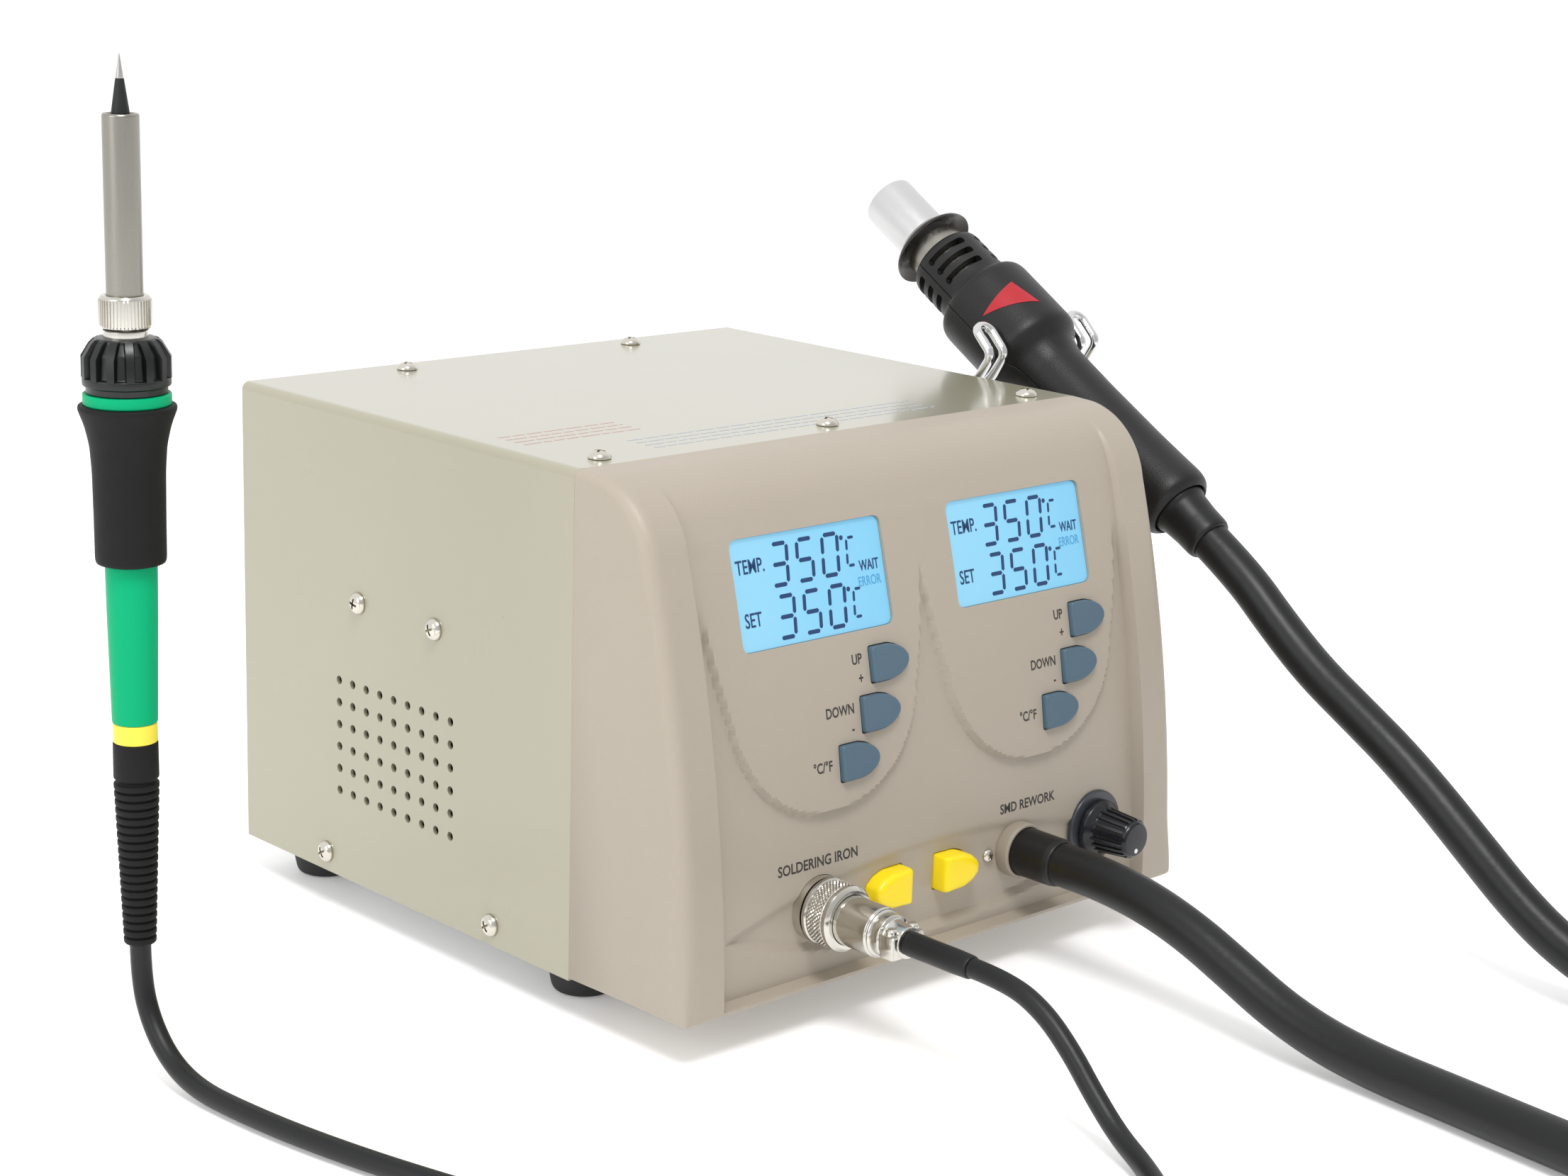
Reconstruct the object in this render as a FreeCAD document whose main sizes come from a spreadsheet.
import FreeCAD, Part
import math
import os
import re

import Sketcher

# A two-in-one rework station: a case with a soldering iron on a cable and a hot-air gun on a hose.
# Working frame: x = 0 at the middle of the case, y = 0 at the middle of the sheet-metal cover,
# z = 0 on the table, front towards -Y. The last section moves everything to the part's origin,
# which is the middle of the bottom of its box.

os.makedirs("parts", exist_ok=True)
doc = FreeCAD.newDocument("rework_station")

# ---------------------------------------------------------------- driving dimensions (mm, degrees)
SIZES = {
    # case
    "cover_width": 197, "cover_depth": 157, "cover_height": 142, "sheet": 1.2, "bend_radius": 2.5,
    "foot_height": 11, "foot_top_radius": 11, "foot_base_radius": 9.2, "foot_inset_x": 18.5,
    "foot_inset_y": 15.5, "tray_thickness": 1.5, "tray_flange": 14, "rear_thickness": 1.5,
    "vent_radius": 1.3, "vent_pitch": 6.75, "vent_first_y": -25, "vent_first_z": 27,
    # bezel
    "bezel_wall": 2.5, "bezel_depth": 48.3, "bezel_foot": 0.8, "shoulder_flat": 6.5, "shoulder_drop": 20.1,
    "shoulder_depth": 30, "shoulder_radius": 24.5, "nose_radius": 460, "cheek_width": 14,
    "panel_recess": 3.6, "shield_height": 1.5, "shell_depth": 8, "shield_offset": 41,
    "shield_top": 111.5, "shield_bottom": 48.5, "shield_half_width": 40.8, "shield_waist": 34.5,
    "lens_half_width": 84, "lens_middle": 19, "lens_rise": 13.8, "lens_floor": 41.9,
    # fasteners
    "screw_radius": 1.5, "screw_head_radius": 3.25, "screw_head_height": 2.3, "screw_length": 8,
    "screw_clearance": 0.1, "top_screw_x": 84, "top_screw_y": 7.5, "rear_screw_x": 45,
    "rear_screw_y": 9.5, "side_screw_z": 6, "side_screw_front_y": -44, "side_screw_rear_y": 36,
    "holder_screw_z": 86, "holder_screw_front_y": -17.6, "holder_screw_rear_y": 19,
    # displays and buttons
    "lcd_width": 56, "lcd_height": 30.3, "lcd_middle": 109.4, "lcd_recess": 1, "board_gap": 12,
    "board_width": 150, "board_height": 84, "board_thickness": 1.6, "key_length": 14, "key_height": 10,
    "key_proud": 1.8, "key_clearance": 0.3, "key_travel": 1, "up_key_x": 17, "up_key_z": 85,
    "down_key_x": 12, "down_key_z": 72.2, "unit_key_x": 2.7, "unit_key_z": 60.4,
    # lower band
    "band_height": 21.5, "switch_length": 13.9, "switch_height": 10.5, "switch_proud": 5.5,
    "switch_travel": 2.5, "iron_switch_x": -27.3, "air_switch_x": 13.5, "socket_x": -46,
    "thread_radius": 7.9, "ring_wall": 1.35, "ring_radius": "=thread_radius + ring_wall",
    "ring_length": 10.1, "running_fit": 0.08, "plug_step": 0.9, "plug_radius": "=thread_radius - plug_step",
    "plug_length": 14.8, "gland_radius": 6, "gland_length": 8.7, "shrink_radius": 3.4,
    "shrink_length": 22.9, "cable_radius": 2.75, "port_x": 33.5, "port_radius": 8.2, "port_proud": 4.5,
    "port_bore": 4.8, "dial_x": 67, "dial_radius": 11, "dial_thickness": 1.5, "knob_flange_radius": 8.6,
    "knob_radius": 6.2, "knob_length": 15.5, "shaft_radius": 3,
    # hot-air gun, measured along its axis from the nozzle's mouth
    "gun_lean": 31.8, "gun_gap": 28, "gun_x": "=cover_width/2 + gun_gap", "gun_y": 32.7, "gun_z": 188.2,
    "nozzle_radius": 9, "nozzle_wall": 0.8, "spigot_length": 21, "nozzle_length": 25, "dish_radius": 14.2,
    "inner_tube_step": 1, "inner_tube_radius": "=nozzle_radius + inner_tube_step", "shroud_wall": 2.8,
    "shroud_start": 31.7, "shroud_radius": "=inner_tube_radius + shroud_wall",
    "wide_start": 51, "wide_radius": 16.8, "wide_end": 80,
    "neck_start": 88, "neck_radius": 11.25, "grip_end": 151, "grip_end_radius": 12.5, "shell_wall": 2,
    "boot_length": 19, "boot_radius": 7.7, "hose_radius": 6.35, "slot_length": 15, "slot_width": 2.5,
    # cradle
    "bracket_thickness": 1.5, "bracket_low": 73, "bracket_high": 117, "bracket_front": -30,
    "bracket_rear": 28, "wire_radius": 1.5, "wire_bend": 3.2, "hook_gap": 37.2, "hook_width": 6.5,
    # soldering iron, standing upright
    "iron_x": -205, "iron_y": -36, "iron_base": 35, "relief_length": 53.7, "relief_radius": 5.7,
    "relief_end_radius": 4.1, "band_length": 5.1, "band_radius": 5.55, "handle_length": 41,
    "handle_radius": 6.45, "handle_low_radius": 5.7, "grip_length": 40, "grip_radius": 8.8,
    "grip_flange_radius": 12.05, "trim_length": 2.8, "trim_radius": 10.75, "collar_length": 13.6,
    "collar_radius": 10.85, "collar_top_radius": 7.9, "collar_neck": 1.8, "collar_step": 0.9,
    "collar_neck_radius": "=barrel_radius + collar_step", "nut_wall": 2.05,
    "nut_length": 8.6, "nut_radius": "=barrel_radius + nut_wall", "barrel_length": 43.4, "barrel_radius": 4.5,
    "barrel_wall": 0.5, "tip_cone": 8.3, "tip_cone_radius": 2.25, "tip_point": 5.8,
    # coils of the put-away cable and hose
    "cable_coil_x": -130, "cable_coil_y": -253, "cable_coil_radius": 31, "hose_coil_x": 97,
    "hose_coil_y": -366, "hose_coil_radius": 68,
}

sheet = doc.addObject("Spreadsheet::Sheet", "Sizes")
for row, (alias, number) in enumerate(SIZES.items(), start=1):
    sheet.set(f"A{row}", alias)
    sheet.set(f"B{row}", str(number))
    sheet.setAlias(f"B{row}", alias)
doc.recompute()


def formula(text):
    """The expression with each alias read from the sheet."""
    return re.sub(r"\b([a-z]\w*_\w+|sheet)\b", r"Sizes.\1", str(text))


def value(text):
    """The number that an expression of aliases gives now."""
    result = sheet.evalExpression(formula(text))
    return float(getattr(result, "Value", result))


def bind(piece, **expressions):
    """Ties properties of an object to cells of the sheet."""
    for prop, text in expressions.items():
        piece.setExpression(prop, formula(text))


# ---------------------------------------------------------------- drawing helpers
UP = FreeCAD.Vector(0, 0, 1)
XY = FreeCAD.Rotation()
XZ = FreeCAD.Rotation(FreeCAD.Vector(1, 0, 0), 90)
YZ = FreeCAD.Rotation(FreeCAD.Vector(1, 1, 1), 120)
FORWARD = FreeCAD.Rotation(FreeCAD.Vector(1, 0, 0), 90)


def vector(x, y, z):
    """A point whose coordinates are expressions or numbers."""
    return FreeCAD.Vector(value(x), value(y), value(z))


def put(piece, x=0, y=0, z=0, rotation=XY):
    """Places a piece."""
    piece.Placement = FreeCAD.Placement(vector(x, y, z), rotation)
    return piece


def tie(drawing, kind, *where, text):
    """A dimension of a sketch, bound to the sheet when it isn't a plain number."""
    index = drawing.addConstraint(Sketcher.Constraint(kind, *where, value(text)))
    if isinstance(text, str):
        drawing.setExpression(f"Constraints[{index}]", formula(text))


def arc_between(start, end, radius):
    """The shorter arc from start to end; a positive radius turns left."""
    chord = end - start
    rise = math.sqrt(max(radius * radius - chord.Length ** 2 / 4, 0))
    left = UP.cross(chord).normalize()
    centre = (start + end) / 2 + left * (rise if radius > 0 else -rise)
    outwards = ((start + end) / 2 - centre).normalize()
    return Part.Arc(start, centre + outwards * abs(radius), end)


def draw(drawing, points):
    """Draws a closed outline. A point is (across, up) or (across, up, radius of the arc that follows)."""
    spots = [FreeCAD.Vector(value(p[0]), value(p[1]), 0) for p in points]
    count = len(points)
    first = drawing.GeometryCount
    starts, ends = [], []
    for i, point in enumerate(points):
        a, b = spots[i], spots[(i + 1) % count]
        if len(point) == 3:
            turn = value(point[2])
            drawing.addGeometry(arc_between(a, b, turn))
            starts.append(1 if turn > 0 else 2)
            ends.append(2 if turn > 0 else 1)
        else:
            drawing.addGeometry(Part.LineSegment(a, b))
            starts.append(1)
            ends.append(2)
    for i, point in enumerate(points):
        after = (i + 1) % count
        drawing.addConstraint(
            Sketcher.Constraint("Coincident", first + i, ends[i], first + after, starts[after]))
    for i, point in enumerate(points):
        tie(drawing, "DistanceX", -1, 1, first + i, starts[i], text=point[0])
        tie(drawing, "DistanceY", -1, 1, first + i, starts[i], text=point[1])
        if len(point) == 3:
            tie(drawing, "Radius", first + i, text=str(point[2]).lstrip("-"))


def outline(name, plane, points, x=0, y=0, z=0):
    """A free-standing sketch with one closed outline."""
    drawing = doc.addObject("Sketcher::SketchObject", name)
    put(drawing, x, y, z, plane)
    draw(drawing, points)
    return drawing


def circles(name, plane, centres, radius, x=0, y=0, z=0):
    """A free-standing sketch with equal circles."""
    drawing = doc.addObject("Sketcher::SketchObject", name)
    put(drawing, x, y, z, plane)
    for across, up in centres:
        spot = FreeCAD.Vector(value(across), value(up), 0)
        index = drawing.addGeometry(Part.Circle(spot, UP, value(radius)))
        tie(drawing, "DistanceX", -1, 1, index, 3, text=across)
        tie(drawing, "DistanceY", -1, 1, index, 3, text=up)
        tie(drawing, "Radius", index, text=radius)
    return drawing


def extrude(name, drawing, length, both_ways=False):
    """A solid pushed out of a sketch along its normal."""
    solid = doc.addObject("Part::Extrusion", name)
    solid.Base = drawing
    solid.DirMode = "Normal"
    solid.Solid = True
    solid.Symmetric = both_ways
    bind(solid, LengthFwd=length)
    doc.recompute()
    return solid


def turned(name, profile, angle=360, flipped=False):
    """A PartDesign body turned about its own Z axis from a profile of (radius, height)."""
    body = doc.addObject("PartDesign::Body", name)
    plane = [item for item in body.Origin.OriginFeatures if item.Role == "XZ_Plane"][0]
    drawing = body.newObject("Sketcher::SketchObject", name + "_profile")
    drawing.AttachmentSupport = [(plane, "")]
    drawing.MapMode = "FlatFace"
    draw(drawing, profile)
    turning = body.newObject("PartDesign::Revolution", name + "_turning")
    turning.Profile = drawing
    turning.ReferenceAxis = (drawing, ["V_Axis"])
    turning.Angle = angle
    turning.Reversed = flipped
    body.Tip = turning
    doc.recompute()
    return body


def box(name, length, width, height, x=0, y=0, z=0):
    """A Part box with its sizes and its low corner bound to the sheet."""
    solid = doc.addObject("Part::Box", name)
    bind(solid, Length=length, Width=width, Height=height)
    solid.setExpression("Placement.Base.x", formula(x))
    solid.setExpression("Placement.Base.y", formula(y))
    solid.setExpression("Placement.Base.z", formula(z))
    return solid


def rod(name, radius, length, x=0, y=0, z=0, rotation=XY):
    """A Part cylinder."""
    solid = doc.addObject("Part::Cylinder", name)
    bind(solid, Radius=radius, Height=length)
    return put(solid, x, y, z, rotation)


def cut(name, base, tool):
    solid = doc.addObject("Part::Cut", name)
    solid.Base = base
    solid.Tool = tool
    doc.recompute()
    return solid


def fuse(name, *shapes):
    solid = doc.addObject("Part::MultiFuse", name)
    solid.Shapes = list(shapes)
    doc.recompute()
    return solid


def common(name, *shapes):
    solid = doc.addObject("Part::MultiCommon", name)
    solid.Shapes = list(shapes)
    doc.recompute()
    return solid


def repeated(name, source, places):
    """One node of equal, separate solids: links to one source at each place."""
    links = []
    for number, place in enumerate(places):
        link = doc.addObject("App::Link", f"{name}_{number}")
        link.LinkedObject = source
        link.LinkTransform = False
        link.Placement = place
        links.append(link)
    group = doc.addObject("Part::Compound", name)
    group.Links = links
    doc.recompute()
    return group


def shaped(name, shape):
    """A Part::Feature for a shape that is swept along a path."""
    piece = doc.addObject("Part::Feature", name)
    piece.Shape = shape
    return piece


NODES = {}


def node(piece, label):
    """Names a sub-part and puts it in the list that is written."""
    piece.Label = label
    NODES[label] = piece
    return piece


# ---------------------------------------------------------------- places worked out from the sizes
SEAM = -value("cover_depth/2")
BAND_Z = "foot_height + band_height"
LENS_Y = "-cover_depth/2 - lens_floor"


def nose_centre():
    """Centre of the nose arc in (y, z), z from the table."""
    top = FreeCAD.Vector(SEAM - value("shoulder_depth"),
                         value("foot_height + cover_height - shoulder_drop"), 0)
    low = FreeCAD.Vector(SEAM - value("bezel_depth"), value("foot_height + bezel_foot"), 0)
    chord = low - top
    rise = math.sqrt(value("nose_radius") ** 2 - chord.Length ** 2 / 4)
    return (top + low) / 2 + UP.cross(chord).normalize() * rise


NOSE = nose_centre()


def on_nose(height, depth):
    """Point (y, z) and lean in degrees, depth behind the nose's face, at a height above the cover's edge."""
    radius = value("nose_radius") - depth
    rise = value("foot_height") + height - NOSE.y
    y = NOSE.x - math.sqrt(radius * radius - rise * rise)
    return y, NOSE.y + rise, math.degrees(math.asin(rise / radius))


def facing(lean):
    """Turns a sketch plane so that its normal looks out of the leaning panel."""
    return FreeCAD.Rotation(FreeCAD.Vector(1, 0, 0), 90 - lean)


def on_shield(piece, x, height, depth=0.0):
    """Stands a piece's local XY plane on the raised shield, Z outwards."""
    y, z, lean = on_nose(height, value("panel_recess - shield_height"))
    turn = facing(lean)
    piece.Placement = FreeCAD.Placement(FreeCAD.Vector(x, y, z) - turn.multVec(UP) * depth, turn)
    return piece


# ---------------------------------------------------------------- screws
screw_form = turned("screw_form", [
    (0, "-screw_length"), ("screw_radius", "-screw_length"), ("screw_radius", 0),
    ("screw_head_radius", 0), ("screw_head_radius", "screw_head_height*0.35"),
    ("screw_head_radius*0.55", "screw_head_height"), (0, "screw_head_height")])


def screw_places():
    """Where each case screw's head sits, and the way it looks."""
    top = value("foot_height + cover_height")
    low = value("foot_height + side_screw_z")
    high = value("foot_height + holder_screw_z")
    side = value("cover_width/2")
    left = FreeCAD.Rotation(UP, FreeCAD.Vector(-1, 0, 0))
    right = FreeCAD.Rotation(UP, FreeCAD.Vector(1, 0, 0))
    down = FreeCAD.Rotation(FreeCAD.Vector(1, 0, 0), 180)
    spots = [((k * value("top_screw_x"), SEAM + value("top_screw_y"), top), XY) for k in (-1, 0, 1)]
    spots += [((k * value("rear_screw_x"), -SEAM - value("rear_screw_y"), top), XY) for k in (-1, 1)]
    for y in (value("side_screw_front_y"), value("side_screw_rear_y")):
        spots += [((-side, y, low), left), ((side, y, low), right)]
    for y in (value("holder_screw_front_y"), value("holder_screw_rear_y")):
        spots += [((-side, y, high), left), ((side + value("bracket_thickness"), y, high), right)]
    for x, y in foot_spots():
        spots.append(((x, y, 5), down))
    return [FreeCAD.Placement(FreeCAD.Vector(*spot), turn) for spot, turn in spots]


def foot_spots():
    across = value("cover_width/2 - foot_inset_x")
    along = value("cover_depth/2 - foot_inset_y")
    return [(i * across, j * along) for i in (-1, 1) for j in (-1, 1)]


node(repeated("case_screws", screw_form, screw_places()), "case_screws")

TOP_HOLES = [(f"{k}*top_screw_x", "-cover_depth/2 + top_screw_y") for k in (-1, 0, 1)]
REAR_HOLES = [(f"{k}*rear_screw_x", "cover_depth/2 - rear_screw_y") for k in (-1, 1)]
LOW_SIDE_HOLES = [(y, "foot_height + side_screw_z") for y in ("side_screw_front_y", "side_screw_rear_y")]
HOLDER_HOLES = [(y, "foot_height + holder_screw_z") for y in ("holder_screw_front_y", "holder_screw_rear_y")]
HOLE = "screw_radius + screw_clearance"

# ---------------------------------------------------------------- feet
foot_form = turned("foot_form", [
    (HOLE, "foot_height"), (HOLE, 5), ("screw_head_radius + 0.6", 5), ("screw_head_radius + 0.6", 0),
    ("foot_base_radius", 0), ("foot_top_radius", "foot_height")])
node(repeated("rubber_feet", foot_form, [
    FreeCAD.Placement(FreeCAD.Vector(x, y, 0), XY) for x, y in foot_spots()]), "rubber_feet")


# ---------------------------------------------------------------- sheet-metal cover
def make_cover():
    half, top = "cover_width/2", "foot_height + cover_height"
    inner_half, inner_top = "(cover_width/2 - sheet)", "foot_height + cover_height - sheet"
    bend, inner_bend = "bend_radius", "(bend_radius - sheet)"
    shell = extrude("cover_shell", outline("cover_outline", XZ, [
        (f"-{half}", "foot_height"), (f"-{inner_half}", "foot_height"),
        (f"-{inner_half}", f"{inner_top} - {inner_bend}", f"-{inner_bend}"),
        (f"-{half} + bend_radius", inner_top),
        (f"{half} - bend_radius", inner_top, f"-{inner_bend}"),
        (inner_half, f"{inner_top} - {inner_bend}"), (inner_half, "foot_height"),
        (half, "foot_height"), (half, f"{top} - {bend}", bend), (f"{half} - {bend}", top),
        (f"-{half} + {bend}", top, bend), (f"-{half}", f"{top} - {bend}")]), "cover_depth", True)
    vents = [(f"vent_first_y + {i}*vent_pitch", f"foot_height + vent_first_z + {j}*vent_pitch")
             for i in range(9) for j in range(6)]
    tools = fuse(
        "cover_holes",
        extrude("vent_holes", circles("vent_circles", YZ, vents, "vent_radius"), "cover_width*1.2", True),
        extrude("side_holes", circles("side_circles", YZ, LOW_SIDE_HOLES + HOLDER_HOLES, HOLE),
                "cover_width*1.2", True),
        extrude("top_holes", circles("top_circles", XY, TOP_HOLES + REAR_HOLES, HOLE, z="cover_height"),
                "foot_height*3"))
    return cut("cover", shell, tools)


node(make_cover(), "top_cover")


# ---------------------------------------------------------------- base tray and rear panel
STANDOFFS = [(-55, -70), (60, -70), (-55, -35), (60, -35)]
STANDOFF_TOP = 24


def make_tray():
    half = "(cover_width/2 - sheet)"
    low, floor = "foot_height", "foot_height + tray_thickness"
    shell = extrude("tray_shell", outline("tray_outline", XZ, [
        (f"-{half}", low), (half, low), (half, "foot_height + tray_flange"),
        (f"{half} - tray_thickness", "foot_height + tray_flange"), (f"{half} - tray_thickness", floor),
        (f"-{half} + tray_thickness", floor), (f"-{half} + tray_thickness", "foot_height + tray_flange"),
        (f"-{half}", "foot_height + tray_flange")]), "cover_depth", True)
    posts = [rod(f"standoff_{i}", 3, f"{STANDOFF_TOP} - foot_height - tray_thickness", x, y, floor)
             for i, (x, y) in enumerate(STANDOFFS)]
    feet = [(f"{i}*(cover_width/2 - foot_inset_x)", f"{j}*(cover_depth/2 - foot_inset_y)")
            for i in (-1, 1) for j in (-1, 1)]
    tools = fuse(
        "tray_holes",
        extrude("foot_holes", circles("foot_circles", XY, feet, HOLE), "foot_height*2"),
        extrude("flange_holes", circles("flange_circles", YZ, LOW_SIDE_HOLES, HOLE), "cover_width*1.2", True))
    return cut("tray", fuse("tray_with_posts", shell, *posts), tools)


node(make_tray(), "base_tray")

INLET_X, INLET_Z = 50, 40
FUSE_X, FUSE_Z = 5, 40
REAR_INNER_Y = "cover_depth/2 - rear_thickness"


def make_rear_panel():
    half = "(cover_width/2 - sheet - tray_thickness)"
    top = "foot_height + cover_height - sheet"
    plate = extrude("rear_plate", outline("rear_outline", XZ, [
        (f"-{half}", "foot_height + tray_thickness"), (half, "foot_height + tray_thickness"),
        (half, top), (f"-{half}", top)], y="cover_depth/2"), "rear_thickness")
    tabs = [box(f"rear_tab_{i}", 16, 14, 1.5, f"{k}*rear_screw_x - 8", f"{REAR_INNER_Y} - 14", f"{top} - 1.5")
            for i, k in enumerate((-1, 1))]
    slots = [box(f"rear_slot_{i}", 3, 10, 45, -75 + 8 * i, "cover_depth/2 - 5", 60) for i in range(8)]
    tools = fuse(
        "rear_openings",
        box("inlet_opening", 27.4, 10, 20, INLET_X - 13.7, "cover_depth/2 - 5", INLET_Z - 10),
        rod("fuse_opening", 6.2, 10, FUSE_X, "cover_depth/2 + 5", FUSE_Z, FORWARD),
        extrude("rear_tab_holes", circles("rear_tab_circles", XY, REAR_HOLES, HOLE, z="cover_height"),
                "foot_height*3"), *slots)
    return cut("rear", fuse("rear_with_tabs", plate, *tabs), tools)


node(make_rear_panel(), "rear_panel")


# ---------------------------------------------------------------- moulded bezel
def nose_outline(name, depth, top_y, top_z, front_y):
    """Outline of everything in front of a surface that runs depth behind the bezel's face."""
    shoulder_y, shoulder_z, _ = on_nose(value("cover_height - shoulder_drop"), depth)
    low_y, low_z, _ = on_nose(value("bezel_foot") - 3, depth)
    return outline(name, YZ, [
        (top_y, top_z, value("shoulder_radius") - depth), (shoulder_y, shoulder_z,
                                                            value("nose_radius") - depth),
        (low_y, low_z), (front_y, low_z), (front_y, top_z)])


def shield_outline(name, side):
    """One tongue-shaped shield: wide at the top, narrowing to a round end."""
    middle = f"{side}*shield_offset"
    bottom, top = "foot_height + shield_bottom", "foot_height + shield_top"
    return outline(name, XZ, [
        (f"{middle} - shield_half_width", top), (f"{middle} - shield_half_width", f"{top} + 40"),
        (f"{middle} + shield_half_width", f"{top} + 40"),
        (f"{middle} + shield_half_width", top, -150),
        (f"{middle} + shield_waist", "foot_height + 77", -33),
        (middle, bottom, -33), (f"{middle} - shield_waist", "foot_height + 77", -150)])


def make_bezel():
    seam, top = "-cover_depth/2", "foot_height + cover_height"
    body = extrude("bezel_block", outline("bezel_profile", YZ, [
        (seam, top), (f"{seam} - shoulder_flat", f"{top} - 0.3", "shoulder_radius"),
        (f"{seam} - shoulder_depth", f"{top} - shoulder_drop", "nose_radius"),
        (f"{seam} - bezel_depth", "foot_height + bezel_foot"), (seam, "foot_height + bezel_foot")]),
        "cover_width", True)
    span = "2*(cover_width/2 - cheek_width)"
    start = ("-cover_depth/2 - shoulder_flat - 10", "foot_height + cover_height - 2.8")
    panel_tool = extrude("panel_tool", nose_outline("panel_line", value("panel_recess"), *start, SEAM - 70),
                         span, True)
    shield_tool = extrude(
        "shield_tool",
        nose_outline("shield_line", value("panel_recess - shield_height"), *start, SEAM - 70), span, True)
    shields = fuse("shields", *[
        extrude(f"shield_{side}", shield_outline(f"shield_line_{side}", side), "cover_depth", True)
        for side in (-1, 1)])
    put(shields, 0, "-cover_depth/2 - bezel_depth", 0)
    raised = cut("raised", common("shield_common", body, shields), shield_tool)
    lens = extrude("lens_tool", outline("lens_outline", XZ, [
        ("-lens_half_width", "foot_height + lens_middle",
         "(lens_half_width*lens_half_width + lens_rise*lens_rise)/2/lens_rise"),
        ("lens_half_width", "foot_height + lens_middle",
         "(lens_half_width*lens_half_width + lens_rise*lens_rise)/2/lens_rise")], y=LENS_Y), 30)
    inside_y, inside_z, _ = on_nose(value("cover_height - shoulder_drop"), value("shell_depth"))
    floor_y, _, _ = on_nose(value("bezel_foot + bezel_wall"), value("shell_depth"))
    hollow = extrude("bezel_hollow", outline("hollow_profile", YZ, [
        (f"{seam} + 5", "foot_height + bezel_foot + bezel_wall"), (f"{seam} + 5", f"{top} - bezel_wall"),
        (f"{seam} - 4", f"{top} - bezel_wall"), (inside_y, inside_z, value("nose_radius - shell_depth")),
        (floor_y, "foot_height + bezel_foot + bezel_wall")]), "cover_width - 2*bezel_wall", True)
    tabs = [box(f"bezel_tab_{i}", 16, "top_screw_y + 14", 2.5, f"{k}*(top_screw_x - 1) - 8", f"{seam} - 10",
                f"{top} - sheet - 2.5") for i, k in enumerate((-1, 0, 1))]
    openings = bezel_openings()
    face = fuse("bezel_face", cut("bezel_recessed", cut("bezel_panel", body, panel_tool), lens), raised)
    return cut("bezel", fuse("bezel_with_tabs", cut("bezel_shell", face, hollow), *tabs), openings)


def key_shape(name, x, height, grow=0.0, depth=10.0):
    """A D-shaped key: flat on the left, a blunt point on the right."""
    length, half = f"key_length + {grow}", f"(key_height/2 + {grow})"
    drawing = outline(name + "_outline", XY, [
        (f"-{grow}", f"-{half}"), (f"{length} - 7", f"-{half}", 9), (length, f"-1 - {grow}"),
        (length, f"1 + {grow}", 9), (f"{length} - 7", half), (f"-{grow}", half)])
    key = extrude(name, drawing, depth)
    return on_shield(key, x, height, depth - value("key_proud"))


KEYS = {"up": ("up_key_x", "up_key_z"), "down": ("down_key_x", "down_key_z"),
        "unit": ("unit_key_x", "unit_key_z")}
SIDES = {"iron": -1, "air": 1}


def key_places():
    """Name, x of the flat side and height of each of the six keys."""
    for side, sign in SIDES.items():
        for key, (across, height) in KEYS.items():
            yield f"{side}_{key}_key", value(f"{sign}*shield_offset + {across}"), value(height)


def switch_shape(name, tip_x, way, grow=0.0, front="switch_proud", length=16):
    """A house-shaped yellow push button with its tip pointing left (way 1) or right (way -1)."""
    half = f"(switch_height/2 + {grow})"
    points = [(f"{tip_x} - {way}*{grow}", f"{BAND_Z} + 1.5 + {grow}"),
              (f"{tip_x} - {way}*{grow}", f"{BAND_Z} - 1.5 - {grow}"),
              (f"{tip_x} + {way}*6", f"{BAND_Z} - {half}"),
              (f"{tip_x} + {way}*(switch_length + {grow})", f"{BAND_Z} - {half}"),
              (f"{tip_x} + {way}*(switch_length + {grow})", f"{BAND_Z} + {half}"),
              (f"{tip_x} + {way}*6", f"{BAND_Z} + {half}")]
    drawing = outline(name + "_outline", XZ, points, y=f"{LENS_Y} - {front} + {length}")
    return extrude(name, drawing, length)


def bezel_openings():
    """Everything that passes through the front."""
    tools = [key_shape(f"{name}_opening", x, height, value("key_clearance"), 24.0)
             for name, x, height in key_places()]
    for side, sign in SIDES.items():
        window = doc.addObject("Part::Box", f"{side}_window")
        bind(window, Length="lcd_width", Width="lcd_height", Height=30)
        tools.append(on_shield(window, value(f"{sign}*shield_offset - lcd_width/2"),
                               value("lcd_middle"), 20))
        window.Placement.Base = window.Placement.multVec(vector(0, "-lcd_height/2", 0))
    tools.append(switch_shape("iron_switch_opening", "iron_switch_x", 1, 0.3, 20, 50))
    tools.append(switch_shape("air_switch_opening", "air_switch_x", -1, 0.3, 20, 50))
    tools.append(rod("socket_opening", "thread_radius", 40, "socket_x", f"{LENS_Y} + 20", BAND_Z, FORWARD))
    tools.append(rod("socket_seat", "ring_radius + 0.1", 20, "socket_x", LENS_Y, BAND_Z, FORWARD))
    tools.append(rod("port_opening", "port_radius - 1.5", 40, "port_x", f"{LENS_Y} + 20", BAND_Z, FORWARD))
    tools.append(rod("dial_opening", "shaft_radius + 1", 40, "dial_x", f"{LENS_Y} + 20", BAND_Z, FORWARD))
    tools.append(rod("dial_seat", "dial_radius", 20, "dial_x", f"{LENS_Y} - 0.6", BAND_Z, FORWARD))
    tools.append(extrude("tab_holes", circles("tab_circles", XY, TOP_HOLES, HOLE, z="cover_height"),
                         "foot_height*3"))
    return fuse("openings", *tools)


node(make_bezel(), "front_bezel")

# ---------------------------------------------------------------- display board, displays and keys
BOARD_MIDDLE = value("(lcd_middle + shield_bottom)/2 + 4")
BOARD_Y, BOARD_Z, BOARD_LEAN = on_nose(BOARD_MIDDLE, value("shell_depth + board_gap"))


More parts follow.
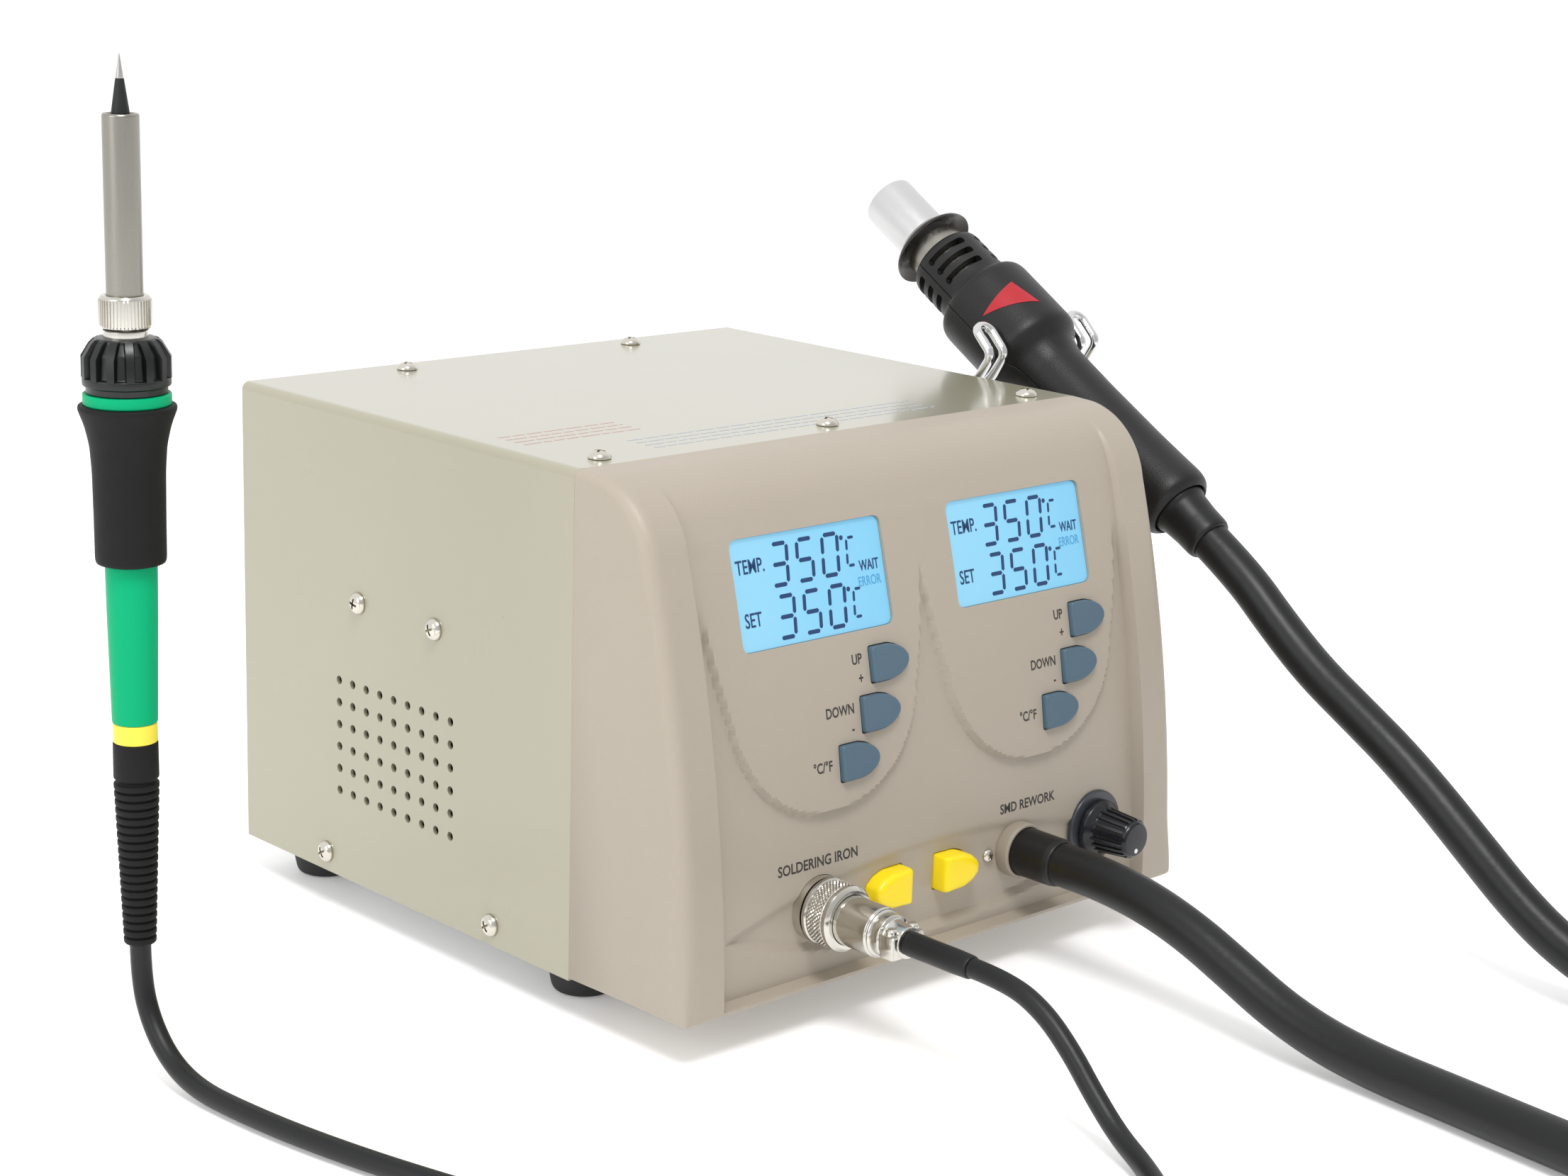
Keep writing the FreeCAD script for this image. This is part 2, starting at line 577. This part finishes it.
def board_frame(depth=0.0):
    """Placement on the board's front face, Z outwards."""
    turn = facing(BOARD_LEAN)
    spot = FreeCAD.Vector(0, BOARD_Y, BOARD_Z) - turn.multVec(UP) * depth
    return FreeCAD.Placement(spot, turn)


def make_board():
    board = doc.addObject("Part::Box", "board")
    bind(board, Length="board_width", Width="board_height", Height="board_thickness")
    place = board_frame(value("board_thickness"))
    place.Base = place.multVec(vector("-board_width/2", "-board_height/2", 0))
    board.Placement = place
    return board


node(make_board(), "display_board")


def behind_board():
    """A block that fills everything behind the board's front face."""
    block = doc.addObject("Part::Box", "behind_board")
    bind(block, Length="cover_width", Width="cover_height", Height=60)
    place = board_frame(60)
    place.Base = place.multVec(vector("-cover_width/2", "-cover_height/2", 0))
    block.Placement = place
    return block


BEHIND = behind_board()
for side, sign in SIDES.items():
    module = doc.addObject("Part::Box", f"{side}_lcd_block")
    bind(module, Length="lcd_width", Width="lcd_height", Height="30 - lcd_recess")
    on_shield(module, value(f"{sign}*shield_offset - lcd_width/2"), value("lcd_middle"), 30)
    module.Placement.Base = module.Placement.multVec(vector(0, "-lcd_height/2", 0))
    node(cut(f"{side}_lcd", module, BEHIND), f"{side}_display")

for name, x, height in key_places():
    node(key_shape(name, x, height, 0.0, 14.0), name)

# ---------------------------------------------------------------- lower band: buttons, socket, port, dial
node(switch_shape("iron_switch", "iron_switch_x", 1), "iron_power_button")
node(switch_shape("air_switch", "air_switch_x", -1), "air_power_button")

SWITCH_BODY_GAP = "switch_travel + 0.5"
for side, (tip, way) in {"iron": ("iron_switch_x", 1), "air": ("air_switch_x", -1)}.items():
    node(box(f"{side}_switch_body", 11, 16, 13, f"{tip} + {way}*(switch_length/2) - 5.5",
             f"{LENS_Y} - switch_proud + 16 + {SWITCH_BODY_GAP}", STANDOFF_TOP + 1.6),
         f"{side}_power_switch")

SOCKET_FRONT = 12
node(put(turned("socket", [
    (5.5, -14), ("thread_radius", -14), ("thread_radius", 0), ("ring_radius", 0), ("ring_radius", 3),
    ("thread_radius", 3), ("thread_radius", SOCKET_FRONT), (5.5, SOCKET_FRONT)]),
    "socket_x", LENS_Y, BAND_Z, FORWARD), "iron_socket")
node(put(turned("coupling_ring", [
    ("thread_radius + running_fit", 0), ("ring_radius", 0), ("ring_radius", "ring_length"),
    ("plug_radius + running_fit", "ring_length"), ("plug_radius + running_fit", "ring_length - 1"),
    ("thread_radius + running_fit", "ring_length - 1")]),
    "socket_x", f"{LENS_Y} - 3.3", BAND_Z, FORWARD), "plug_ring")
node(put(turned("plug_shell", [
    (0, 0), ("plug_radius", 0), ("plug_radius", "plug_length - 1"), ("plug_radius - 0.8", "plug_length"),
    (0, "plug_length")]), "socket_x", f"{LENS_Y} - {SOCKET_FRONT}", BAND_Z, FORWARD), "plug_body")
PLUG_END = f"{LENS_Y} - {SOCKET_FRONT} - plug_length"
node(put(turned("gland", [
    (0, 0), ("gland_radius", 0), ("gland_radius", "gland_length - 3"), ("gland_radius - 1.5", "gland_length"),
    (0, "gland_length")]), "socket_x", PLUG_END, BAND_Z, FORWARD), "plug_gland")
node(rod("heat_shrink", "shrink_radius", "shrink_length", "socket_x", f"{PLUG_END} - gland_length",
         BAND_Z, FORWARD), "plug_heat_shrink")

node(put(turned("port", [
    ("port_bore", -12), ("port_radius - 1.5", -12), ("port_radius - 1.5", 0), ("port_radius", 0),
    ("port_radius", "port_proud"), ("port_bore", "port_proud")]),
    "port_x", LENS_Y, BAND_Z, FORWARD), "hose_port")

DIAL_Y = f"{LENS_Y} - 0.6"
node(put(turned("dial", [
    ("shaft_radius + 1", 0), ("dial_radius", 0), ("dial_radius", "dial_thickness"),
    ("shaft_radius + 1", "dial_thickness")]), "dial_x", DIAL_Y, BAND_Z, FORWARD), "dial_plate")
node(put(turned("knob", [
    ("shaft_radius + running_fit", 0), ("knob_flange_radius", 0), ("knob_flange_radius", 3),
    ("knob_radius", 4), ("knob_radius - 0.6", "knob_length"), (0, "knob_length"),
    (0, "knob_length - 4"), ("shaft_radius + running_fit", "knob_length - 4")]),
    "dial_x", f"{DIAL_Y} - dial_thickness - 0.4", BAND_Z, FORWARD), "air_knob")
POT_BACK = 6.4
node(put(turned("pot", [
    (0, f"-{POT_BACK} - 9"), (8, f"-{POT_BACK} - 9"), (8, f"-{POT_BACK}"),
    ("shaft_radius + 1", f"-{POT_BACK}"),
    ("shaft_radius + 1", 0.6), ("shaft_radius", 0.6), ("shaft_radius", "knob_length - 3"),
    (0, "knob_length - 3")]), "dial_x", LENS_Y, BAND_Z, FORWARD), "air_potentiometer")


# ---------------------------------------------------------------- inside the case
def make_main_board():
    plate = box("main_plate", 140, 82, 1.6, -68, "-cover_depth/2 - 24", STANDOFF_TOP)
    chips = [box(f"main_part_{i}", length, width, height, x, y, STANDOFF_TOP + 1.6)
             for i, (length, width, height, x, y) in enumerate([
                 (18, 10, 6, -20, -60), (8, 8, 14, -44, -38), (8, 8, 14, -30, -38), (22, 16, 12, -60, -60)])]
    return fuse("main", plate, *chips)


node(make_main_board(), "main_board")


def make_heat_sink():
    fins = [box(f"fin_{i}", 1.5, 30, 28, 4 + 5 * i, -62, STANDOFF_TOP + 1.6) for i in range(4)]
    return fuse("sink", box("sink_base", 20, 30, 3, 2, -62, STANDOFF_TOP + 1.6), *fins)


node(make_heat_sink(), "heat_sink")

FLOOR = "foot_height + tray_thickness"
node(fuse("transformer_form", box("core", 62, 34, 54, -86, 4, FLOOR),
          box("winding", 40, 52, 34, -75, -5, f"{FLOOR} + 10")), "transformer")
PUMP_TOP = "foot_height + tray_thickness + 44"
node(fuse("pump_form", box("pump_case", 56, 74, 44, 16, -18, FLOOR),
          rod("pump_outlet", 4, 8, "port_x", -18, 40, FORWARD),
          rod("arm_pin", 2, 9, 24, 44, PUMP_TOP)), "pump_body")
node(cut("pump_lever", box("lever", 40, 12, 5, 18, 38, f"{PUMP_TOP} + 1"),
         rod("lever_hole", "2 + running_fit", 12, 24, 44, PUMP_TOP)), "pump_arm")


def make_inlet():
    body = box("inlet_body", 27.4, 22, 20, INLET_X - 13.7, "cover_depth/2 - 20", INLET_Z - 10)
    flange = box("inlet_flange", 48, 2, 24, INLET_X - 24, "cover_depth/2", INLET_Z - 12)
    cavity = box("inlet_cavity", 24, 20, 16.5, INLET_X - 12, "cover_depth/2 - 15", INLET_Z - 8.25)
    pins = [box(f"inlet_pin_{i}", 2, 10, 4, INLET_X + x - 1, "cover_depth/2 - 16", INLET_Z + z - 2)
            for i, (x, z) in enumerate([(-7, -2), (0, 2), (7, -2)])]
    return fuse("inlet", cut("inlet_hollow", fuse("inlet_solid", body, flange), cavity), *pins)


node(make_inlet(), "mains_inlet")
node(put(turned("fuse", [
    (0, -20), (5, -20), (6.2, -1.5), (6.2, 0), (8, 0), (8, 3), (6.5, 7), (0, 7)]),
    FUSE_X, "cover_depth/2", FUSE_Z, FreeCAD.Rotation(FreeCAD.Vector(1, 0, 0), -90)), "fuse_holder")


# ---------------------------------------------------------------- bent wires, tubes and cords
def path_with_bends(points, radius_at):
    """A wire of straight runs joined by tangent arcs, and the radii of its arcs."""
    spots = [FreeCAD.Vector(*point) for point in points]
    edges, radii = [], []
    here = spots[0]
    for before, corner, after in zip(spots, spots[1:], spots[2:]):
        back, on = before - corner, after - corner
        turn = math.pi - back.getAngle(on)
        reach, radius = radius_at(min(back.Length, on.Length), turn)
        back.normalize()
        on.normalize()
        start, end = corner + back * reach, corner + on * reach
        middle = corner + (back + on).normalize() * (radius / math.cos(turn / 2) - radius)
        if (start - here).Length > 1e-6:
            edges.append(Part.LineSegment(here, start).toShape())
        edges.append(Part.Arc(start, middle, end).toShape())
        radii.append(radius)
        here = end
    edges.append(Part.LineSegment(here, spots[-1]).toShape())
    return Part.Wire(edges), radii


def cord_bend(run, turn):
    return 0.45 * run, 0.45 * run / math.tan(turn / 2)


def wire_bend(run, turn):
    radius = min(value("wire_bend"), 0.49 * run / math.tan(turn / 2))
    return radius * math.tan(turn / 2), radius


def tube_along(name, points, radius, bend):
    """A round bar swept along a route; its volume is compared with section times length."""
    path, radii = path_with_bends(points, bend)
    first = path.OrderedEdges[0]
    start = first.valueAt(first.FirstParameter)
    ring = Part.Wire(Part.makeCircle(radius, start, first.tangentAt(first.FirstParameter)))
    solid = path.makePipeShell([ring], True, False)
    expected = math.pi * radius ** 2 * path.Length
    print(f"{name}: length {path.Length:.1f}, least radius {min(radii):.1f}, "
          f"volume ratio {solid.Volume / expected:.4f}, radii {[round(r) for r in radii]}")
    return solid


PORT_FRONT = value(f"{LENS_Y} - port_proud")
AXIS_Z = value(BAND_Z)
CABLE_Z = value("cable_radius")
HOSE_Z = value("hose_radius") + 0.05

PLUG_CABLE = [
    (-46, -178.9, 32.5), (-46, -192, 32.5), (-46.2, -204, 28.4), (-46.8, -214, 21.2), (-47.8, -223, 13),
    (-49.5, -233, 6), (-53, -244.5, 2.9), (-62, -258, 2.8), (-77, -272, 2.8), (-97, -281, 2.8),
    (-122, -284, 2.8)]
IRON_CABLE = [
    (-205, -36, 35), (-205, -36, 24.5), (-205, -40.6, 14.2), (-204.9, -49.4, 6.4), (-204.6, -61.5, 2.9),
    (-203.6, -78, 2.8), (-200.5, -101, 2.8), (-194, -130, 2.8), (-184, -163, 2.8), (-172, -197, 2.8),
    (-163.5, -227, 2.8), (-161, -249, 2.8)]
PORT_HOSE = [
    (33.5, -124.9, 32.5), (33.5, -140, 32.5), (33.6, -155, 32.1), (33.8, -171, 30), (34, -187, 25.5),
    (34.2, -202, 19.2), (34.4, -217, 12.7), (34.6, -233, 8.4), (34.4, -251, 6.5), (33.4, -274, 6.4),
    (31.2, -302, 6.4), (29.4, -334, 6.4), (29, -360, 6.4)]
GUN_HOSE = [
    (126.5, -111.8, 109.6), (126.5, -125.4, 101.2), (126.4, -139, 89.4), (126.2, -154, 77.9),
    (126, -170, 68.8), (125.8, -186, 59.6), (125.6, -201, 49.3), (125.6, -216, 37.8),
    (126, -230, 26.8), (127.2, -243.5, 17.8), (129.6, -258, 11), (133.6, -274, 7.6), (139.6, -293, 7.2),
    (147.6, -314, 10), (156.6, -336, 14.6), (163.6, -356, 18.4)]


def leave(points, place, direction, run):
    """The route with its first run straight out of the piece that holds it."""
    start = vector(*place)
    return [tuple(start), tuple(start + direction * run)] + points[2:]


def along_gun(distance):
    """A point on the gun's axis."""
    lean = math.radians(value("gun_lean"))
    return (value("gun_x"), value("gun_y") - distance * math.cos(lean),
            value("foot_height + gun_z") - distance * math.sin(lean))


FRONT = FreeCAD.Vector(0, -1, 0)
GUN_DOWN = FreeCAD.Vector(*along_gun(1)) - FreeCAD.Vector(*along_gun(0))
plug_run = tube_along("plug cable", leave(
    PLUG_CABLE, ("socket_x", f"{PLUG_END} - gland_length - shrink_length", BAND_Z), FRONT, 13),
    value("cable_radius"), cord_bend)
iron_run = tube_along("iron cable", leave(
    IRON_CABLE, ("iron_x", "iron_y", "iron_base"), -UP, 10.5), value("cable_radius"), cord_bend)
port_run = tube_along("port hose", leave(
    PORT_HOSE, ("port_x", PORT_FRONT, BAND_Z), FRONT, 15), value("hose_radius"), cord_bend)
gun_run = tube_along("gun hose", leave(
    GUN_HOSE, along_gun(value("grip_end + boot_length")), GUN_DOWN, 16), value("hose_radius"), cord_bend)
node(shaped("iron_cable", Part.makeCompound([plug_run, iron_run])), "iron_cable")
node(shaped("air_hose", Part.makeCompound([port_run, gun_run])), "air_hose")


def coil(name, x, y, radius, half_width, height):
    """The outer shape of a neat round coil that lies on the table."""
    return put(turned(name, [
        (f"{radius} - {half_width}", 0), (f"{radius} + {half_width}", 0),
        (f"{radius} + {half_width}", height), (f"{radius} - {half_width}", height)]), x, y, 0)


node(coil("cable_coil", "cable_coil_x", "cable_coil_y", "cable_coil_radius", "2*cable_radius + 0.4",
          "4*cable_radius + 0.6"), "iron_cable_coil")
node(coil("hose_coil", "hose_coil_x", "hose_coil_y", "hose_coil_radius", "hose_radius + 0.4",
          "4*hose_radius + 0.5"), "air_hose_coil")

INNER_TUBE = [(value("port_x"), value(f"{LENS_Y} + 12"), AXIS_Z), (value("port_x") + 2, -96, AXIS_Z + 3),
              (value("port_x") + 5, -80, 38), (value("port_x") + 5, -62, 41.5),
              (value("port_x") + 3, -44, 42), (value("port_x"), -26, 40)]
node(shaped("inner_air_tube", tube_along("inner tube", INNER_TUBE, value("port_bore"), cord_bend)),
     "inner_air_tube")


# ---------------------------------------------------------------- cradle for the gun
def make_bracket():
    plate = box("bracket_plate", "bracket_thickness", "bracket_rear - bracket_front",
                "bracket_high - bracket_low", "cover_width/2", "bracket_front", "foot_height + bracket_low")
    holes = extrude("bracket_holes", circles("bracket_circles", YZ, HOLDER_HOLES, HOLE), "cover_width*1.2",
                    True)
    return cut("bracket", plate, holes)


node(make_bracket(), "cradle_bracket")


def cradle_route():
    """One bent wire: up the near hook, across under the gun, up the far hook and back to the bracket."""
    lift = value("foot_height")
    near_in = value("gun_x - hook_gap/2")
    far_in = value("gun_x + hook_gap/2")
    near_out = value("cover_width/2 + bracket_thickness + wire_radius")
    far_out = far_in + value("hook_width")
    rise = [(-24, 129), (-35, 141), (-40, 148.5), (-32, 156.5)]
    hook_up = [(y, z + lift) for y, z in rise]
    hook_down = hook_up[::-1]
    points = [(near_out, -15, 94 + lift)]
    points += [(near_out, y, z) for y, z in hook_up]
    points += [(near_in, y, z) for y, z in hook_down]
    points += [(far_in, y, z) for y, z in hook_up]
    points += [(far_out, y, z) for y, z in hook_down]
    points += [(far_out, -10, 110 + lift), (value("cover_width/2 + bracket_thickness"), -10, 110 + lift)]
    return points


node(shaped("cradle_wire", tube_along("cradle wire", cradle_route(), value("wire_radius"), wire_bend)),
     "cradle_wire")

# ---------------------------------------------------------------- hot-air gun
GUN_TURN = FreeCAD.Rotation(FreeCAD.Vector(1, 0, 0), 90 + value("gun_lean"))


def on_gun(piece, distance=0.0):
    """Places a turned piece on the gun's axis, its Z towards the hose."""
    piece.Placement = FreeCAD.Placement(FreeCAD.Vector(*along_gun(distance)), GUN_TURN)
    return piece


node(on_gun(turned("nozzle", [
    ("nozzle_radius - nozzle_wall", 0), ("nozzle_radius", 0), ("nozzle_radius", "spigot_length"),
    ("nozzle_radius - 0.1", "spigot_length"), ("nozzle_radius - 0.1", "nozzle_length"),
    ("nozzle_radius - nozzle_wall", "nozzle_length")])), "gun_nozzle")
node(on_gun(turned("dish", [
    ("nozzle_radius - 0.1", "spigot_length"), ("nozzle_radius + 1", "spigot_length"),
    ("dish_radius", "nozzle_length - 0.5"), ("dish_radius", "nozzle_length + 0.5"),
    ("nozzle_radius - 0.1", "nozzle_length + 0.5")])), "gun_collar_disc")
node(on_gun(turned("inner_tube", [
    ("nozzle_radius - nozzle_wall", "nozzle_length"), ("nozzle_radius - 0.1", "nozzle_length"),
    ("nozzle_radius - 0.1", "nozzle_length + 0.5"), ("inner_tube_radius", "nozzle_length + 0.5"),
    ("inner_tube_radius", "neck_start - 8"), ("nozzle_radius - nozzle_wall", "neck_start - 8")])),
    "gun_inner_tube")
node(on_gun(turned("heater", [
    (0, "shroud_start + 4"), ("nozzle_radius - nozzle_wall", "shroud_start + 4"),
    ("nozzle_radius - nozzle_wall", "neck_start - 8"), (0, "neck_start - 8")])), "gun_heater_core")


def shell_profile():
    return [
        ("inner_tube_radius", "shroud_start"), ("shroud_radius - 0.8", "shroud_start"),
        ("shroud_radius", "shroud_start + 1.5"), ("shroud_radius", "wide_start"),
        ("wide_radius", "wide_start + 4"), ("wide_radius", "wide_end"),
        ("neck_radius + 1", "neck_start"), ("neck_radius", "neck_start + 8"),
        ("neck_radius", "grip_end - 16"), ("grip_end_radius", "grip_end - 6"),
        ("grip_end_radius - 1.5", "grip_end"), ("boot_radius - shell_wall", "grip_end"),
        ("boot_radius - shell_wall", "grip_end - 3"), ("neck_radius - shell_wall", "grip_end - 4"),
        ("neck_radius - shell_wall", "neck_start"), ("inner_tube_radius", "neck_start - 8")]


def make_gun_shell(name, flipped):
    shell = turned(name + "_turned", shell_profile(), 180, flipped)
    on_gun(shell)
    slots = []
    for bank in (45, 135, 225, 315):
        for step in range(3):
            slot = doc.addObject("Part::Box", f"{name}_slot_{bank}_{step}")
            bind(slot, Length="wide_radius", Width="slot_length", Height="slot_width")
            turn = GUN_TURN.multiply(FreeCAD.Rotation(UP, bank))
            spot = along_gun(value("shroud_start + 3.5") + step * 5.2)
            offset = turn.multVec(vector("inner_tube_radius + 0.6", "-slot_length/2", 0))
            slot.Placement = FreeCAD.Placement(FreeCAD.Vector(*spot) + offset, turn)
            slots.append(slot)
    return cut(name, shell, fuse(name + "_slots", *slots))


node(make_gun_shell("gun_shell_upper", True), "gun_shell_upper")
node(make_gun_shell("gun_shell_lower", False), "gun_shell_lower")
node(on_gun(turned("boot", [
    ("hose_radius - 1.6", "grip_end"), ("boot_radius - shell_wall", "grip_end"),
    ("boot_radius", "grip_end"), ("hose_radius + 0.6", "grip_end + boot_length"),
    ("hose_radius - 1.6", "grip_end + boot_length")])), "gun_boot")

# ---------------------------------------------------------------- soldering iron
LEVELS = {}
level = "iron_base"
for part_name, step in [("relief", "relief_length"), ("band", "band_length"), ("handle", "handle_length"),
                        ("grip", "grip_length"), ("trim", "trim_length"), ("collar", "collar_length"),
                        ("neck", "collar_neck"), ("nut", "nut_length + 0.2"), ("barrel", "barrel_length"),
                        ("cone", "tip_cone")]:
    LEVELS[part_name] = level
    level = f"{level} + {step}"
LEVELS["point"] = level


def on_iron(name, start, profile):
    """A turned piece of the iron that starts at a level, radius and height from there."""
    return node(put(turned(name + "_form", profile), "iron_x", "iron_y", LEVELS[start]), name)


on_iron("iron_relief", "relief", [
    (0, 0), ("relief_end_radius", 0), ("relief_radius", "relief_length - 9.5"),
    ("relief_radius", "relief_length"), (0, "relief_length")])
on_iron("iron_band", "band", [(0, 0), ("band_radius", 0), ("band_radius", "band_length"), (0, "band_length")])
on_iron("iron_handle", "handle", [
    (0, 0), ("handle_low_radius", 0), ("handle_radius", "handle_length"), (0, "handle_length")])
on_iron("iron_grip", "grip", [
    (0, 0), ("grip_radius", 0), ("grip_radius + 0.7", "grip_length - 12"),
    ("grip_flange_radius", "grip_length - 3"), ("grip_flange_radius - 1", "grip_length"), (0, "grip_length")])
on_iron("iron_trim_ring", "trim", [(0, 0), ("trim_radius", 0), ("trim_radius", "trim_length"), (0, "trim_length")])
on_iron("iron_collar", "collar", [
    ("barrel_radius", 0), ("collar_radius", 0), ("collar_radius", "collar_length - 5"),
    ("collar_top_radius", "collar_length"), ("collar_neck_radius", "collar_length"),
    ("collar_neck_radius", "collar_length + collar_neck"), ("barrel_radius", "collar_length + collar_neck")])
on_iron("iron_nut", "nut", [
    ("barrel_radius + running_fit", "0.2"), ("nut_radius - 0.5", "0.2"), ("nut_radius", "0.8"),
    ("nut_radius", "nut_length - 0.6"), ("nut_radius - 0.5", "nut_length"),
    ("barrel_radius + running_fit", "nut_length")])
BARREL_DEEP = "collar_length + collar_neck + nut_length + 0.2"
on_iron("iron_barrel", "barrel", [
    ("barrel_radius - barrel_wall", f"-({BARREL_DEEP})"), ("barrel_radius", f"-({BARREL_DEEP})"),
    ("barrel_radius", "barrel_length"), ("tip_cone_radius", "barrel_length"),
    ("tip_cone_radius", "barrel_length - 1"), ("barrel_radius - barrel_wall", "barrel_length - 1")])
on_iron("iron_heater", "barrel", [
    (0, f"-({BARREL_DEEP})"), ("barrel_radius - barrel_wall", f"-({BARREL_DEEP})"),
    ("barrel_radius - barrel_wall", -8), ("tip_cone_radius - 0.4", -8), ("tip_cone_radius - 0.4", 14), (0, 14)])
on_iron("iron_tip", "cone", [
    (0, -29.4), ("tip_cone_radius", -29.4), ("tip_cone_radius", 0), (1, "tip_cone"), (0.2, "tip_cone + tip_point"),
    (0, "tip_cone + tip_point")])


# ---------------------------------------------------------------- checks, origin and writing
doc.recompute()
FREE_CORD_NODES = {"iron_cable", "iron_cable_coil", "air_hose", "air_hose_coil", "plug_ring", "plug_body",
                   "plug_gland", "plug_heat_shrink"}


def check_document():
    """Stops if any object failed or any sub-part isn't a valid solid."""
    failed = [item.Name for item in doc.Objects if {"Invalid", "Error"} & set(item.State)]
    if failed:
        raise RuntimeError(f"objects that failed: {failed}")
    for label, piece in NODES.items():
        shape = piece.Shape
        if shape.isNull() or not shape.isValid() or not shape.Solids or shape.Volume <= 0:
            raise RuntimeError(f"{label} is not a valid solid")


def set_origin():
    """Moves every sub-part so that the origin is the bottom middle of the box without the free cords."""
    bounds = FreeCAD.BoundBox()
    for label, piece in NODES.items():
        if label not in FREE_CORD_NODES:
            bounds.add(piece.Shape.BoundBox)
    shift = FreeCAD.Vector(-bounds.Center.x, -bounds.Center.y, -bounds.ZMin)
    print(f"origin shift {shift.x:.3f} {shift.y:.3f} {shift.z:.3f}")
    return FreeCAD.Placement(shift, FreeCAD.Rotation())


check_document()
shift = set_origin()
for label, piece in NODES.items():
    shape = piece.Shape.copy()
    shape.Placement = shift.multiply(shape.Placement)
    shape.exportStep(f"parts/{label}.step")
print(f"{len(NODES)} sub-parts")
